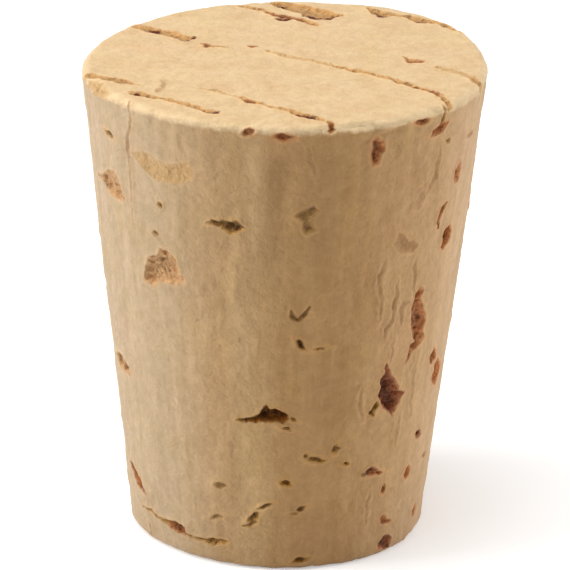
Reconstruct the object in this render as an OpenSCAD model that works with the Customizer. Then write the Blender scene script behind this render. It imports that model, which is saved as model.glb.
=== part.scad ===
// Tapered stopper cut from one piece of natural cork bark.
// The narrow end stands on the XY plane and the wide end faces up.
// It was ground to a taper on three centres, which leaves it slightly out of round.
// Growth seams cross both ends in parallel planes, and bark pores open all round the side.
// Millimetres.

/* [Body] */
// Diameter of the wide end, before its flats
top_d = 25.4; // [16:0.1:40]
// Diameter of the narrow end, before its flats
bottom_d = 18.9; // [12:0.1:30]
// Length from the narrow end to the wide end
length = 30.2; // [20:0.1:45]

/* [Out of round] */
// Bearing of the slow flat ground at the back, in degrees from the front to the right
back_flat_bearing = 210; // [0:1:359]
// Depth of the flat at the back
back_flat_depth = 1.5; // [0.1:0.1:2]
// Bearing of the slighter flat at the right
right_flat_bearing = 94; // [0:1:359]
// Depth of the flat at the right
right_flat_depth = 0.3; // [0.1:0.05:1]
// How far a flat's own centre lies beyond the middle, which makes it less curved
flat_offset = 2.5; // [2.1:0.1:5]

/* [Edges] */
// Rounding of the rim at the wide end
top_edge_r = 0.5; // [0.3:0.1:2]
// Rounding of the edge at the narrow end
bottom_edge_r = 0.4; // [0.2:0.1:1]

/* [Pores] */
// Size of every pore against the size listed for it
pore_size = 1; // [0.6:0.05:1.3]
// Depth of every pore against the depth listed for it
pore_depth = 1; // [0.5:0.05:1.5]
// Width of a pore's floor as a share of its mouth
pore_floor = 0.5; // [0.3:0.05:0.8]
// How far a pore's mouth wanders from a plain oval
pore_ragged = 0.2; // [0:0.02:0.3]
// Corners round the mouth of a pore
pore_corners = 16; // [10:1:24]

/* [Growth seams] */
// Depth of the open seams in the wide end
top_seam_depth = 0.7; // [0.2:0.05:1.5]
// Depth of the open seams in the narrow end
bottom_seam_depth = 0.5; // [0.2:0.05:1.2]
// Width of every seam against the width listed for it
seam_width = 1; // [0.5:0.05:1.5]
// Depth of the pits along the seams in the wide end
top_pit_depth = 1.1; // [0.3:0.05:1.5]

/* [Hidden] */
$fn = 96;
top_r = top_d / 2;
bottom_r = bottom_d / 2;
taper = atan((top_r - bottom_r) / length);
// Centre of each grinding, and its radius against that of the round one
grinds = [
    [[0, 0], 0],
    [-flat_offset * outward(back_flat_bearing), flat_offset - back_flat_depth],
    [-flat_offset * outward(right_flat_bearing), flat_offset - right_flat_depth]
];
// Centre of the box round them, which is put on the axis
middle = [reach(90) - reach(-90), reach(180) - reach(0)] / 2;
// How far a cutter stands clear of the face that it cuts
clear = 0.4;

// The five largest pores, each with a mouth of its own: bearing from the front in degrees, positive
// to the right, height as a share of the length, depth in mm, then its corners in mm from that place,
// right and up as seen from outside.
large_pores = [
    [-4.5, 0.363, 1.4, [[-1.6, -0.55], [-0.9, -0.25], [-0.55, 0], [-0.25, 0.4], [0, 0.65], [0.2, 0.4],
        [0.45, 0.5], [0.8, 0.4], [1.1, 0.2], [1.35, 0], [1.45, -0.3], [1.2, -0.5], [0.7, -0.45],
        [0.25, -0.55], [-0.2, -0.45], [-0.75, -0.5], [-1.25, -0.65]]],
    [-40, 0.656, 1, [[-1.75, -1.3], [-1.65, -0.65], [-1.2, 0.2], [-0.5, 0.7], [-0.1, 1.2], [0.5, 1.3],
        [1.05, 0.8], [1.25, 0.1], [1.7, -0.55], [0.9, -0.85], [-0.25, -0.95], [-0.95, -1.5]]],
    [50.5, 0.532, 1.1, [[-0.75, 0.7], [-0.7, 1.4], [-0.5, 1.8], [-0.1, 2.3], [0.15, 2.2], [0.3, 1.2],
        [0.55, 0.4], [0.75, -0.5], [0.95, -1.5], [0.5, -1.8], [0, -2.1], [-0.4, -2], [-0.2, -1],
        [-0.4, -0.5], [-0.55, 0.2]]],
    [42, 0.389, 1.5, [[-1.1, -0.1], [-0.9, 0.4], [-0.95, 1.2], [-0.65, 1.9], [-0.45, 1.7], [-0.2, 0.8],
        [0.35, 0.4], [0.75, -0.3], [1.3, -0.6], [1, -1], [0.75, -1.5], [0.45, -1.8], [0, -1.4],
        [-0.65, -0.8]]],
    [-62, 0.797, 0.9, [[-2, -0.15], [-1, 0.25], [-0.2, 0.7], [0.4, 0.9], [0.85, 0.6], [1.2, 0.05],
        [1.45, -0.6], [0.95, -0.9], [0.05, -0.8], [-0.55, -0.7], [-0.8, -0.3], [-1.3, -0.15]]]
];

// Oval pores: bearing and height share as above, then width, height and depth in mm, and tilt in degrees.
front_pores = [
    [-65.5, 0.992, 3.2, 0.8, 0.9, 0],
    [-60, 0.909, 1.2, 0.4, 0.4, -8],
    [-50, 0.826, 5.6, 0.3, 0.4, 92],
    [-68.5, 0.384, 2.2, 1.1, 0.8, -10],
    [-66.5, 0.132, 2.3, 0.6, 0.5, -35],
    [-56, 0.065, 2.6, 0.4, 0.4, -3],
    [-43, 0.061, 1.8, 0.5, 0.5, 0],
    [-25, 0.052, 1.9, 0.5, 0.5, 3],
    [-10, 0.982, 0.8, 0.6, 0.8, 0],
    [0, 0.979, 1.2, 0.5, 0.8, 0],
    [27, 0.933, 1.7, 0.9, 0.8, 95],
    [7.5, 0.802, 1.5, 1.2, 0.4, 20],
    [-15.5, 0.777, 2, 0.75, 0.9, 0],
    [6.5, 0.592, 1.2, 0.5, 0.4, 10],
    [6.5, 0.524, 1, 0.4, 0.5, -50],
    [5.5, 0.352, 0.8, 0.4, 0.5, -35],
    [13.5, 0.258, 1.4, 0.5, 0.5, -8],
    [20.5, 0.276, 0.8, 0.5, 0.4, 10],
    [3, 0.208, 0.8, 0.4, 0.4, 0],
    [-21.5, 0.186, 0.9, 0.55, 0.4, 0],
    [-7.5, 0.131, 2.4, 0.6, 0.6, 40],
    [8.5, 0.14, 1.1, 0.45, 0.5, 20],
    [9, 0.02, 1, 0.45, 0.6, 10],
    [42, 0.981, 1.1, 0.6, 0.8, 0],
    [49, 0.952, 1.6, 0.6, 0.7, -3],
    [68, 0.903, 1.6, 0.45, 0.5, 0],
    [61, 0.838, 1, 0.75, 0.6, -20],
    [55.5, 0.759, 1.3, 0.5, 0.5, 35],
    [59.5, 0.702, 1.6, 1.1, 0.9, -2],
    [35, 0.353, 0.9, 0.5, 0.7, 20],
    [61, 0.426, 0.8, 0.5, 0.5, -10],
    [67, 0.384, 2.2, 1.3, 0.9, -15],
    [59, 0.259, 1, 0.5, 0.6, -3],
    [37, 0.205, 1.8, 0.45, 0.4, -5],
    [43, 0.158, 0.8, 0.5, 0.5, -20],
    [55.5, 0.171, 0.8, 0.5, 0.5, -20],
    [45, 0.084, 1.1, 0.5, 0.5, -15],
    [47, 0.027, 1.2, 1, 0.7, 0],
    [66, 0.058, 1, 0.45, 0.4, -5]
];
back_pores = [
    [88, 0.72, 2.6, 0.9, 0.9, 6],
    [94, 0.44, 1.5, 0.6, 0.6, -12],
    [101, 0.9, 1.8, 0.6, 0.7, 0],
    [104, 0.17, 2.4, 0.8, 0.8, 14],
    [116, 0.61, 3.2, 1.7, 1.1, -8],
    [122, 0.32, 1.3, 0.6, 0.6, 30],
    [129, 0.83, 1.2, 0.7, 0.6, 0],
    [138, 0.07, 1.9, 0.5, 0.5, -4],
    [141, 0.47, 2.2, 1, 1, 4],
    [150, 0.7, 1.6, 0.6, 0.6, -20],
    [158, 0.24, 2.8, 1.3, 1.1, 10],
    [163, 0.94, 1.4, 0.6, 0.7, 0],
    [171, 0.55, 1.1, 0.6, 0.5, 40],
    [180, 0.77, 2.9, 1.1, 1, -3],
    [186, 0.37, 3.6, 1.8, 1.2, 12],
    [195, 0.12, 1.5, 0.6, 0.6, -15],
    [202, 0.62, 1.7, 0.7, 0.7, 0],
    [211, 0.87, 2.2, 0.8, 0.8, 8],
    [216, 0.29, 1.2, 0.5, 0.5, 0],
    [224, 0.48, 2.4, 1.2, 1, -10],
    [233, 0.72, 1.3, 0.6, 0.6, 25],
    [238, 0.14, 2.1, 0.7, 0.7, 5],
    [247, 0.36, 1.4, 0.6, 0.6, 0],
    [254, 0.93, 1.6, 0.6, 0.7, 0],
    [259, 0.56, 3, 1.4, 1, 6],
    [268, 0.77, 1.5, 0.6, 0.6, -8],
    [272, 0.24, 1.8, 0.8, 0.8, 0]
];

// Seams in an end face: each is a run of points, with x and y as shares of that end's radius
// and the seam's width there in mm. They lie in parallel planes, the yearly growth of the bark.
top_seams = [
    [[-0.76, 0.49, 0.5], [-0.68, 0.43, 1], [-0.56, 0.37, 0.9], [-0.48, 0.32, 0.7], [-0.45, 0.3, 0.2]],
    [[0.23, -0.08, 0.25], [0.29, -0.13, 0.5], [0.34, -0.15, 0.75], [0.39, -0.17, 0.3], [0.5, -0.26, 0.35],
        [0.6, -0.35, 0.35], [0.69, -0.45, 0.35], [0.74, -0.52, 0.35], [0.78, -0.66, 0.3]],
    [[-0.95, -0.25, 0.4], [-0.89, -0.29, 0.7], [-0.82, -0.32, 0.7], [-0.75, -0.36, 0.6],
        [-0.69, -0.41, 0.25]],
    [[-0.73, -0.52, 0.3], [-0.68, -0.55, 0.8], [-0.62, -0.58, 0.4], [-0.51, -0.62, 0.35],
        [-0.41, -0.7, 0.4], [-0.34, -0.77, 0.65], [-0.29, -0.79, 0.2]],
    [[-0.2, -0.56, 0.3], [-0.17, -0.61, 0.6], [-0.12, -0.64, 0.3], [0.03, -0.74, 0.35],
        [0.09, -0.8, 0.7], [0.14, -0.84, 0.35], [0.23, -0.93, 0.35]],
    [[0.57, 0.08, 0.15], [0.6, 0.04, 0.55], [0.63, 0.01, 0.5], [0.66, 0, 0.15]],
    [[0.73, -0.06, 0.2], [0.78, -0.1, 0.45], [0.84, -0.15, 0.45], [0.91, -0.27, 0.4], [0.95, -0.39, 0.3]],
    [[-0.1, 0.93, 0.6], [-0.02, 0.88, 1], [0.07, 0.81, 1.5], [0.16, 0.74, 1.5], [0.23, 0.71, 0.9],
        [0.29, 0.72, 0.25]],
    [[-0.23, 0.83, 0.3], [-0.12, 0.77, 0.35], [-0.01, 0.66, 0.6], [0.11, 0.6, 0.6], [0.16, 0.55, 0.3]],
    [[0.42, 0.82, 0.3], [0.45, 0.75, 0.8], [0.52, 0.73, 0.4], [0.68, 0.66, 0.7], [0.82, 0.55, 0.6],
        [0.87, 0.48, 0.3]]
];
bottom_seams = [
    [[-0.92, 0.02, 0.3], [-0.78, -0.1, 0.6], [-0.62, -0.24, 0.35], [-0.5, -0.36, 0.7], [-0.38, -0.44, 0.3]],
    [[-0.7, 0.64, 0.3], [-0.52, 0.5, 0.5], [-0.34, 0.38, 0.8], [-0.16, 0.24, 0.35], [-0.02, 0.12, 0.2]],
    [[0.2, -0.08, 0.2], [0.36, -0.18, 0.7], [0.5, -0.28, 0.4], [0.68, -0.4, 0.5], [0.84, -0.5, 0.3]],
    [[0.06, 0.72, 0.3], [0.24, 0.6, 0.8], [0.4, 0.46, 0.4], [0.56, 0.34, 0.6], [0.72, 0.24, 0.2]]
];

// Pits along the wide end's seams: x and y as shares of its radius, width, height and tilt.
top_pits = [
    [-0.64, 0.42, 0.7, 0.8, 30], [-0.5, 0.3, 0.8, 0.5, -20], [-0.46, 0.32, 0.5, 0.35, 60],
    [-0.38, 0.2, 0.3, 0.5, 0], [0.13, 0.71, 0.6, 0.7, -30], [0.17, 0.66, 0.4, 0.6, -20],
    [-0.04, 0.88, 0.9, 0.5, -35], [0, 0.64, 0.5, 0.7, -20], [0.13, 0.57, 0.5, 0.55, -35],
    [0.06, 0.79, 1.6, 0.25, -40], [-0.69, -0.54, 0.6, 0.5, -20], [-0.35, -0.77, 0.55, 0.5, 0],
    [-0.72, -0.39, 0.7, 0.3, -45], [-0.17, -0.6, 0.45, 0.35, -30], [0.09, -0.8, 0.5, 0.45, -40],
    [0.61, 0.02, 0.35, 0.5, 20], [0.47, 0.73, 0.5, 0.5, -30], [0.67, 0.65, 0.6, 0.35, -30],
    [0.81, 0.54, 0.6, 0.3, -45], [0.68, -0.43, 0.5, 0.3, -45], [0.33, -0.15, 0.6, 0.35, -20]
];

// Unit direction of a bearing
function outward(bearing) = [sin(bearing), -cos(bearing)];

// How far the grindings reach towards a bearing, against the round one
function reach(bearing) = min([for (g = grinds) g[0] * outward(bearing) + g[1]]);

// Radius of the round grinding at a height
function side_r(z) = bottom_r + (top_r - bottom_r) * z / length;

// Distance of the side from the axis at a bearing and a height
function surface_r(bearing, z) = min([
    for (g = grinds)
        let (along = (g[0] - middle) * outward(bearing))
        let (aside = (g[0] - middle) * outward(bearing + 90))
        along + sqrt(pow(side_r(z) + g[1], 2) - pow(aside, 2))
]);

// Centre of the circle that rounds an edge: r inside the side, at height z
function edge_centre(r, z) = [side_r(z) - r / cos(taper), z];

// Where that circle meets the side
function edge_tangent(r, z) = edge_centre(r, z) + r * [cos(taper), -sin(taper)];

// A slow wander between -1 and 1 round a pore's mouth
function wander(t, seed) = (sin(2 * t + 97 * seed) + sin(3 * t + 151 * seed) + sin(5 * t + 61 * seed)) / 3;

// An oval with drawn-out ends and a ragged outline, turned by a tilt
function oval_mouth(w, h, tilt, seed) = [
    for (i = [0 : pore_corners - 1])
        let (t = 360 * i / pore_corners)
        let (k = (1 + pore_ragged * wander(t, seed)) / 2)
        let (x = k * w * cos(t))
        let (y = k * h * sin(t) * (0.75 + 0.25 * abs(sin(t))))
        [x * cos(tilt) - y * sin(tilt), x * sin(tilt) + y * cos(tilt)]
];

// Unit direction across a seam at its point i, from its neighbours there
function across(run, i) =
    let (a = run[max(i - 1, 0)])
    let (b = run[min(i + 1, len(run) - 1)])
    [a[1] - b[1], b[0] - a[0]] / norm([b[0] - a[0], b[1] - a[1]]);

// One edge of a seam, on the side given by 1 or -1
function seam_edge(run, r, side) = [
    for (i = [0 : len(run) - 1])
        [run[i][0], run[i][1]] * r + side * seam_width * run[i][2] / 2 * across(run, i)
];

function reversed(list) = [for (i = [len(list) - 1 : -1 : 0]) list[i]];

// The half section of a grinding that is larger than the round one by out, rounded at both edges
module half_section(out) {
    shift = [out, 0];
    top_c = edge_centre(top_edge_r, length - top_edge_r) + shift;
    bottom_c = edge_centre(bottom_edge_r, bottom_edge_r) + shift;
    polygon([
        [0, 0],
        [bottom_c[0], 0],
        edge_tangent(bottom_edge_r, bottom_edge_r) + shift,
        edge_tangent(top_edge_r, length - top_edge_r) + shift,
        [top_c[0], length],
        [0, length]
    ]);
    translate(top_c) circle(top_edge_r);
    translate(bottom_c) circle(bottom_edge_r);
}

// The blank: what all the grindings leave
module blank() {
    translate(-middle)
        intersection_for (g = grinds)
            translate(g[0])
                rotate_extrude() half_section(g[1]);
}

// One pore, narrowing inwards from its mouth at a bearing and height share on the side
module pore(bearing, share, depth, mouth) {
    deep = depth * pore_depth;
    outer = pore_floor + (1 - pore_floor) * (deep + clear) / deep;
    z = share * length;
    rotate([0, 0, bearing])
        translate([0, deep - surface_r(bearing, z), z])
            rotate([90, 0, 0])
                linear_extrude(deep + clear, scale = outer / pore_floor)
                    scale(pore_size * pore_floor)
                        polygon(mouth);
}

module oval_pores(list, seed) {
    for (i = [0 : len(list) - 1]) {
        p = list[i];
        pore(p[0], p[1], p[4], oval_mouth(p[2], p[3], p[5], i + seed));
    }
}

module pores() {
    for (p = large_pores) pore(p[0], p[1], p[2], p[3]);
    oval_pores(front_pores, 0);
    oval_pores(back_pores, 50);
}

// One seam as an upright cutter of even height on the XY plane
module seam(run, r, height) {
    linear_extrude(height)
        polygon(concat(seam_edge(run, r, 1), reversed(seam_edge(run, r, -1))));
}

module seams() {
    for (run = top_seams)
        translate([0, 0, length - top_seam_depth]) seam(run, top_r, top_seam_depth + clear);
    for (run = bottom_seams)
        translate([0, 0, -clear]) seam(run, bottom_r, bottom_seam_depth + clear);
}

module seam_pits() {
    for (i = [0 : len(top_pits) - 1]) {
        p = top_pits[i];
        translate([p[0] * top_r, p[1] * top_r, length - top_pit_depth])
            linear_extrude(top_pit_depth + clear)
                polygon(oval_mouth(p[2], p[3], p[4], i));
    }
}

module cork_stopper() {
    color("burlywood")
        difference() {
            blank();
            pores();
            seams();
            seam_pits();
        }
}

cork_stopper();
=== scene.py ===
import math

import bpy
import numpy as np
from mathutils import Matrix, Vector


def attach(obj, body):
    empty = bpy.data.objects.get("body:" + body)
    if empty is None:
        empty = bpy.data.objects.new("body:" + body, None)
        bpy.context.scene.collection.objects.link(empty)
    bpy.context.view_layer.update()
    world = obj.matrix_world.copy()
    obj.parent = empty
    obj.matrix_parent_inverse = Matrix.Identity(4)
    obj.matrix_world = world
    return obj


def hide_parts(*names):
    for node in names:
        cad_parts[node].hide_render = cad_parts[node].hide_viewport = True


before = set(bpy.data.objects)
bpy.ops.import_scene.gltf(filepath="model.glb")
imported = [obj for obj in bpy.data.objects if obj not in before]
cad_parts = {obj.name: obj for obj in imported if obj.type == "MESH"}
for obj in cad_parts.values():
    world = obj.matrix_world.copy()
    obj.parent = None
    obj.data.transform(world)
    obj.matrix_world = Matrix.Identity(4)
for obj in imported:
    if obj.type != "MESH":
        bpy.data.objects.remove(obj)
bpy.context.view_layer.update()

# Cork stopper
# One plug of natural cork bark, cut across the growth layers and ground to a taper on three centres.
# The layers show as open seams across its ends, and the bark's breathing pores open on the side as
# ragged pits with dark, crumbly floors.

# The body in mm: radii of its ends before the flats, its length, and the roundings of the rim, which is a
# tight corner and a slow shoulder, and of the foot. The corner leans in by RIM_LEAN degrees to the shoulder
TOP_R = 12.7
BASE_R = 9.45
LENGTH = 30.2
RIM_CORNER = 0.25
RIM_SHOULDER = 0.7
RIM_LEAN = 50
FOOT = 0.4

# Ground flats: bearing in degrees from the front to the right, and depth in mm. A flat's own centre lies
# beyond the axis, which makes it less curved, and it meets the round part over a short width
FLATS = [(210, 1.5), (94, 0.3)]
FLAT_OFFSET = 2.5
FLAT_MEETS = 0.06

# Ways along the outline in mm, counted as heights on the side, at which the wide and narrow ends begin
RIM_WAY = 29.78
FOOT_WAY = 0.3

# Columns of the grid round the body, its rows on each stretch of the outline, the radii in mm at which they
# stop short of the ends' middles, and the triangles that are left once it is thinned
COLUMNS = 900
ROWS = {"base": 46, "foot": 9, "side": 374, "corner": 10, "shoulder": 15, "top": 128}
BASE_HOLE = 0.12
TOP_HOLE = 0.1
FINAL_TRIANGLES = 188000

# Share of a hollow's depth that its floor is lowered by, so that light reaches it
LOWERED = 0.4

# Widths in mm over which the walls of pits, seams, cracks and creases go down
PIT_WALL = 0.3
SEAM_WALL = 0.2
CRACK_WALL = 0.12
CREASE_WALL = 0.4

# How far in mm a large pit and a crack reach from their place, right and up, how far past an oval its ragged
# edge may lie, and how far a seam of the wide end runs down over the rim
LARGE_REACH = (3.4, 3.4)
CRACK_REACH = (7, 6)
OVAL_MARGIN = 1.2
SEAM_REACH = 0.58

# Bearing at which the rim is most crumbly, and the degrees over which that fades
CRUMBLY_AT = 28
CRUMBLY_FADES = 30

# Stains of the hollows' floors: red, green and blue from 0 to 255 in daylight, how fully they cover the
# skin, and how much darker they are in the middle and, as painted shade, under their lips
STAINS = {
    "black": ((166, 101, 12), 1, 0.5),
    "dark": ((202, 142, 46), 1, 0.78),
    "brown": ((217, 162, 84), 0.9, 0.68),
    "olive": ((192, 146, 85), 0.78, 0.4),
    "orange": ((224, 176, 124), 0.95, 0.15),
    "rust": ((221, 148, 93), 0.95, 0.4),
    "red": ((226, 141, 77), 0.95, 0.62),
    "purple": ((203, 127, 84), 1, 0.75),
    "ochre": ((212, 170, 114), 0.7, 0),
    "soft": ((190, 142, 90), 0.6, 0.3),
    "faint": ((206, 160, 112), 0.5, 0.2),
    "seam": ((218, 164, 99), 0.86, 0.3),
    "gash": ((190, 118, 64), 1, 0.5),
    "deep": ((124, 54, 22), 1, 0.6),
    "crease": ((206, 164, 116), 0.3, 0.3),
}

# Colour of the side's skin by bearing in degrees: paler at the left, where the bark is younger, and
# browner in front
SKIN = [
    (-180, (206, 172, 130)), (-75, (215, 188, 155)), (-40, (211, 183, 147)), (-20, (202, 165, 120)),
    (-9, (211, 175, 128)), (0, (200, 159, 109)), (22, (198, 156, 105)), (48, (214, 173, 125)),
    (75, (229, 192, 151)), (120, (212, 174, 130)), (180, (206, 172, 130)),
]
TOP_PALE = (236, 204, 156)
TOP_DEEP = (228, 191, 141)
# Palest colour, at the rim: a pale crumbled edge with a painted highlight along its rounding
RIM_PALE_AND_HIGHLIGHT = (250, 224, 182)

# Streaks of the bark up the side: bearing, lower and upper height, width in mm, and how much darker
STREAKS = [
    (-2, 20, 28.8, 0.8, 0.2), (0.2, 20.5, 22.6, 0.25, -0.14), (-22.2, 25.5, 29.6, 0.7, 0.16),
    (-26.8, 26.5, 29.6, 0.5, 0.12), (-24.5, 24, 29.6, 0.5, -0.1), (-29.5, 26, 29.4, 0.8, -0.1),
    (-14.5, 18.5, 22.5, 0.35, -0.12), (-12.5, 17, 21.5, 0.4, 0.1), (-17, 17.5, 22, 0.3, -0.1),
    (-31, 11, 17.5, 0.9, -0.07), (-21, 12, 16.5, 0.5, -0.1), (-6, 12.5, 19.5, 0.7, -0.07),
    (10, 20, 29, 1.6, 0.06), (3, 24.5, 28.5, 0.4, -0.1), (-8, 25, 29.5, 0.6, -0.08),
    (20, 8, 16, 1.2, 0.05), (-45, 3, 14, 1.2, 0.05),
]

# Large pits on the side: bearing, height and depth in mm, stain, and the mouth's corners in mm from that
# place, right and up
LARGE_PITS = [
    (-4.4, 10.95, 1.4, "black", [
        (-1.6, -0.55), (-0.9, -0.25), (-0.55, 0), (-0.25, 0.4), (0, 0.65), (0.2, 0.4), (0.45, 0.5),
        (0.8, 0.4), (1.1, 0.2), (1.35, 0), (1.45, -0.3), (1.2, -0.5), (0.7, -0.45), (0.25, -0.55),
        (-0.2, -0.45), (-0.75, -0.5), (-1.25, -0.65),
    ]),
    (-40, 19.8, 0.8, "orange", [
        (-1.75, -1.3), (-1.65, -0.65), (-1.2, 0.2), (-0.5, 0.7), (-0.1, 1.2), (0.5, 1.3), (1.05, 0.8),
        (1.25, 0.1), (1.7, -0.55), (0.9, -0.85), (-0.25, -0.95), (-0.95, -1.5),
    ]),
    (50, 16, 0.9, "rust", [
        (-0.1, 2.35), (0.2, 2), (-0.1, 1.6), (0.4, 1.05), (0.6, 0.45), (0.75, -0.2), (0.65, -0.75),
        (0.95, -1.4), (0.5, -1.7), (-0.05, -2), (-0.3, -2.05), (-0.3, -1.6), (0.05, -1.35),
        (-0.35, -0.85), (-0.45, -0.25), (-0.7, 0.35), (-0.7, 0.95), (-0.6, 1.4), (-0.45, 1.95),
    ]),
    (41, 11.7, 1.5, "purple", [
        (-0.6, 2.05), (-0.35, 1.6), (-0.2, 1.1), (0.25, 0.7), (0.65, 0.25), (0.7, -0.15), (1.25, -0.35),
        (0.95, -0.65), (0.85, -1.2), (0.7, -1.5), (0.35, -1.6), (0.5, -1.9), (-0.05, -1.4), (-0.45, -1),
        (-0.65, -0.45), (-0.95, -0.05), (-0.75, 0.35), (-0.85, 0.95), (-0.65, 1.4), (-0.7, 1.85),
    ]),
    (-61.9, 24.1, 0.7, "orange", [
        (-2, -0.15), (-1, 0.25), (-0.2, 0.7), (0.4, 0.9), (0.85, 0.6), (1.2, 0.05), (1.45, -0.6),
        (0.95, -0.9), (0.05, -0.8), (-0.55, -0.7), (-0.8, -0.3), (-1.3, -0.15),
    ]),
    (-17.2, 23.5, 0.9, "brown", [
        (-1.25, -0.1), (-0.6, 0.25), (-0.3, 0.25), (-0.15, 0.4), (0.25, 0.25), (0.75, 0.35), (1.3, 0.05),
        (0.8, -0.35), (0.4, -0.5), (0, -0.35), (-0.35, -0.15), (-0.9, -0.05),
    ]),
    (7.6, 24.2, 0.4, "olive", [
        (0.4, 0.9), (0.6, 0.55), (0.1, 0.1), (0.25, -0.3), (0.55, -0.7), (0, -0.95), (-0.25, -0.8),
        (-0.35, -0.15), (-0.8, 0.2), (-0.55, 0.45), (0, 0.7),
    ]),
    (-37.1, 26.4, 0.15, "ochre", [
        (-2.6, 0.5), (-1.3, 0.75), (0.1, 0.35), (1.75, 0.75), (2.25, 0.4), (2.1, -0.15), (1.2, -0.7),
        (0.3, -0.65), (-0.5, -0.8), (-1.3, -0.5), (-2.1, 0.05),
    ]),
    (27, 28.3, 0.9, "rust", [
        (-0.2, 0.8), (0.05, 0.75), (0.55, 0.55), (0.55, 0.05), (0.3, -0.25), (0.2, -0.9), (-0.15, -0.95),
        (-0.35, -0.6), (-0.4, -0.15), (-0.25, 0.15), (-0.35, 0.55),
    ]),
    (59.9, 21, 0.8, "red", [
        (0.35, 0.75), (0.7, 0.25), (0.55, -0.15), (0.25, -0.45), (-0.2, -0.75), (-0.5, -0.5),
        (-0.4, -0.05), (-0.5, 0.3), (-0.2, 0.65),
    ]),
    (34.6, 10.7, 0.7, "dark", [
        (0.2, 0.5), (0.4, 0.2), (0.1, 0), (0, -0.15), (0.05, -0.45), (-0.25, -0.45), (-0.35, -0.15),
        (-0.1, 0.1), (0, 0.4),
    ]),
    (67.6, 11.4, 0.6, "red", [
        (0.05, 1), (0.9, 0.2), (0.65, -0.25), (0.7, -0.85), (0.05, -0.9), (-0.6, -0.45), (-0.7, 0.1),
        (-0.45, 0.35), (-0.55, 0.8),
    ]),
    (40.5, 21.7, 0.12, "soft", [
        (-0.5, 0.75), (0, 0.5), (0.3, -0.05), (0.75, 0.05), (1.05, -0.4), (0.7, -0.7), (-0.1, -0.55),
        (-0.6, -0.3), (-0.9, 0.15), (-0.7, 0.5),
    ]),
    (44.3, 24.4, 0.12, "faint", [
        (-0.05, 0.75), (0.6, 0.35), (0.4, 0), (0.2, -0.3), (0, -0.7), (-0.4, -0.5), (-0.3, 0),
        (-0.5, 0.4),
    ]),
]

# Oval pits on the side: bearing, height, width and height of the mouth, depth, tilt in degrees, stain
FRONT_PITS = [
    (-65.4, 29.9, 3.4, 0.9, 0.5, 4, "ochre"), (-60.1, 27.4, 1.3, 0.4, 0.25, -8, "brown"),
    (-68.3, 11.6, 2.3, 1.1, 0.6, -10, "orange"), (-66.4, 3.95, 2.5, 0.75, 0.5, -35, "gash"),
    (-39.1, 24, 0.45, 0.35, 0.35, 15, "brown"), (-41.8, 21.95, 0.55, 0.3, 0.3, 10, "olive"),
    (-9.8, 29.7, 0.9, 0.55, 0.4, 20, "rust"), (-0.2, 29.5, 1.3, 0.46, 0.45, 0, "red"),
    (6.6, 15.8, 1.05, 0.42, 0.5, -48, "dark"), (12.7, 15.45, 0.75, 0.2, 0.25, 3, "brown"),
    (5, 10.7, 0.7, 0.3, 0.5, -32, "brown"), (2.7, 10, 0.6, 0.22, 0.4, -10, "brown"),
    (13.6, 7.8, 1.4, 0.5, 0.45, -7, "brown"), (10.1, 8.1, 0.35, 0.35, 0.3, 60, "brown"),
    (20.5, 8.4, 0.42, 0.8, 0.4, -20, "brown"), (22, 8.45, 0.4, 0.25, 0.3, 10, "olive"),
    (25.2, 7.3, 0.55, 0.3, 0.4, -5, "dark"), (2.8, 6.25, 0.75, 0.45, 0.5, 0, "dark"),
    (-21.4, 5.7, 0.85, 0.5, 0.25, 0, "olive"), (-9, 3.7, 1.1, 0.55, 0.55, 38, "brown"),
    (-4.8, 4.55, 1.1, 0.3, 0.35, 22, "brown"), (9, 4.35, 0.75, 0.3, 0.4, 22, "brown"),
    (6.1, 4.05, 0.6, 0.2, 0.25, 8, "olive"), (9.5, 0.7, 1.2, 0.45, 0.4, 12, "dark"),
    (-23.8, 3.35, 1.1, 0.3, 0.18, 15, "olive"), (42.1, 29.6, 1.15, 0.45, 0.5, 0, "red"),
    (49.3, 28.75, 1.7, 0.65, 0.6, 18, "red"), (53.8, 27.8, 0.5, 0.4, 0.3, 0, "brown"),
    (68.1, 27.3, 1.7, 0.35, 0.3, 0, "faint"), (61.9, 25.2, 0.7, 1.35, 0.5, -15, "rust"),
    (62.3, 12.9, 0.85, 1.05, 0.5, -15, "red"), (59, 7.7, 0.8, 0.58, 0.6, -30, "purple"),
    (36.4, 6.3, 0.95, 0.62, 0.5, -8, "purple"), (39.2, 6.1, 1, 0.28, 0.35, -8, "red"),
    (33.1, 6.25, 0.45, 0.35, 0.2, 0, "olive"), (42.8, 4.75, 0.45, 0.7, 0.35, -10, "rust"),
    (55.3, 5.3, 0.6, 0.95, 0.45, -10, "red"), (67.6, 5.7, 0.9, 0.4, 0.2, -5, "olive"),
    (44.6, 2.6, 0.7, 0.68, 0.4, -10, "rust"), (46.6, 2.35, 0.8, 0.3, 0.3, -15, "red"),
    (46.8, 0.8, 1.25, 1.1, 0.6, 15, "purple"), (65.9, 1.9, 0.75, 1, 0.35, -15, "rust"),
]
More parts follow.
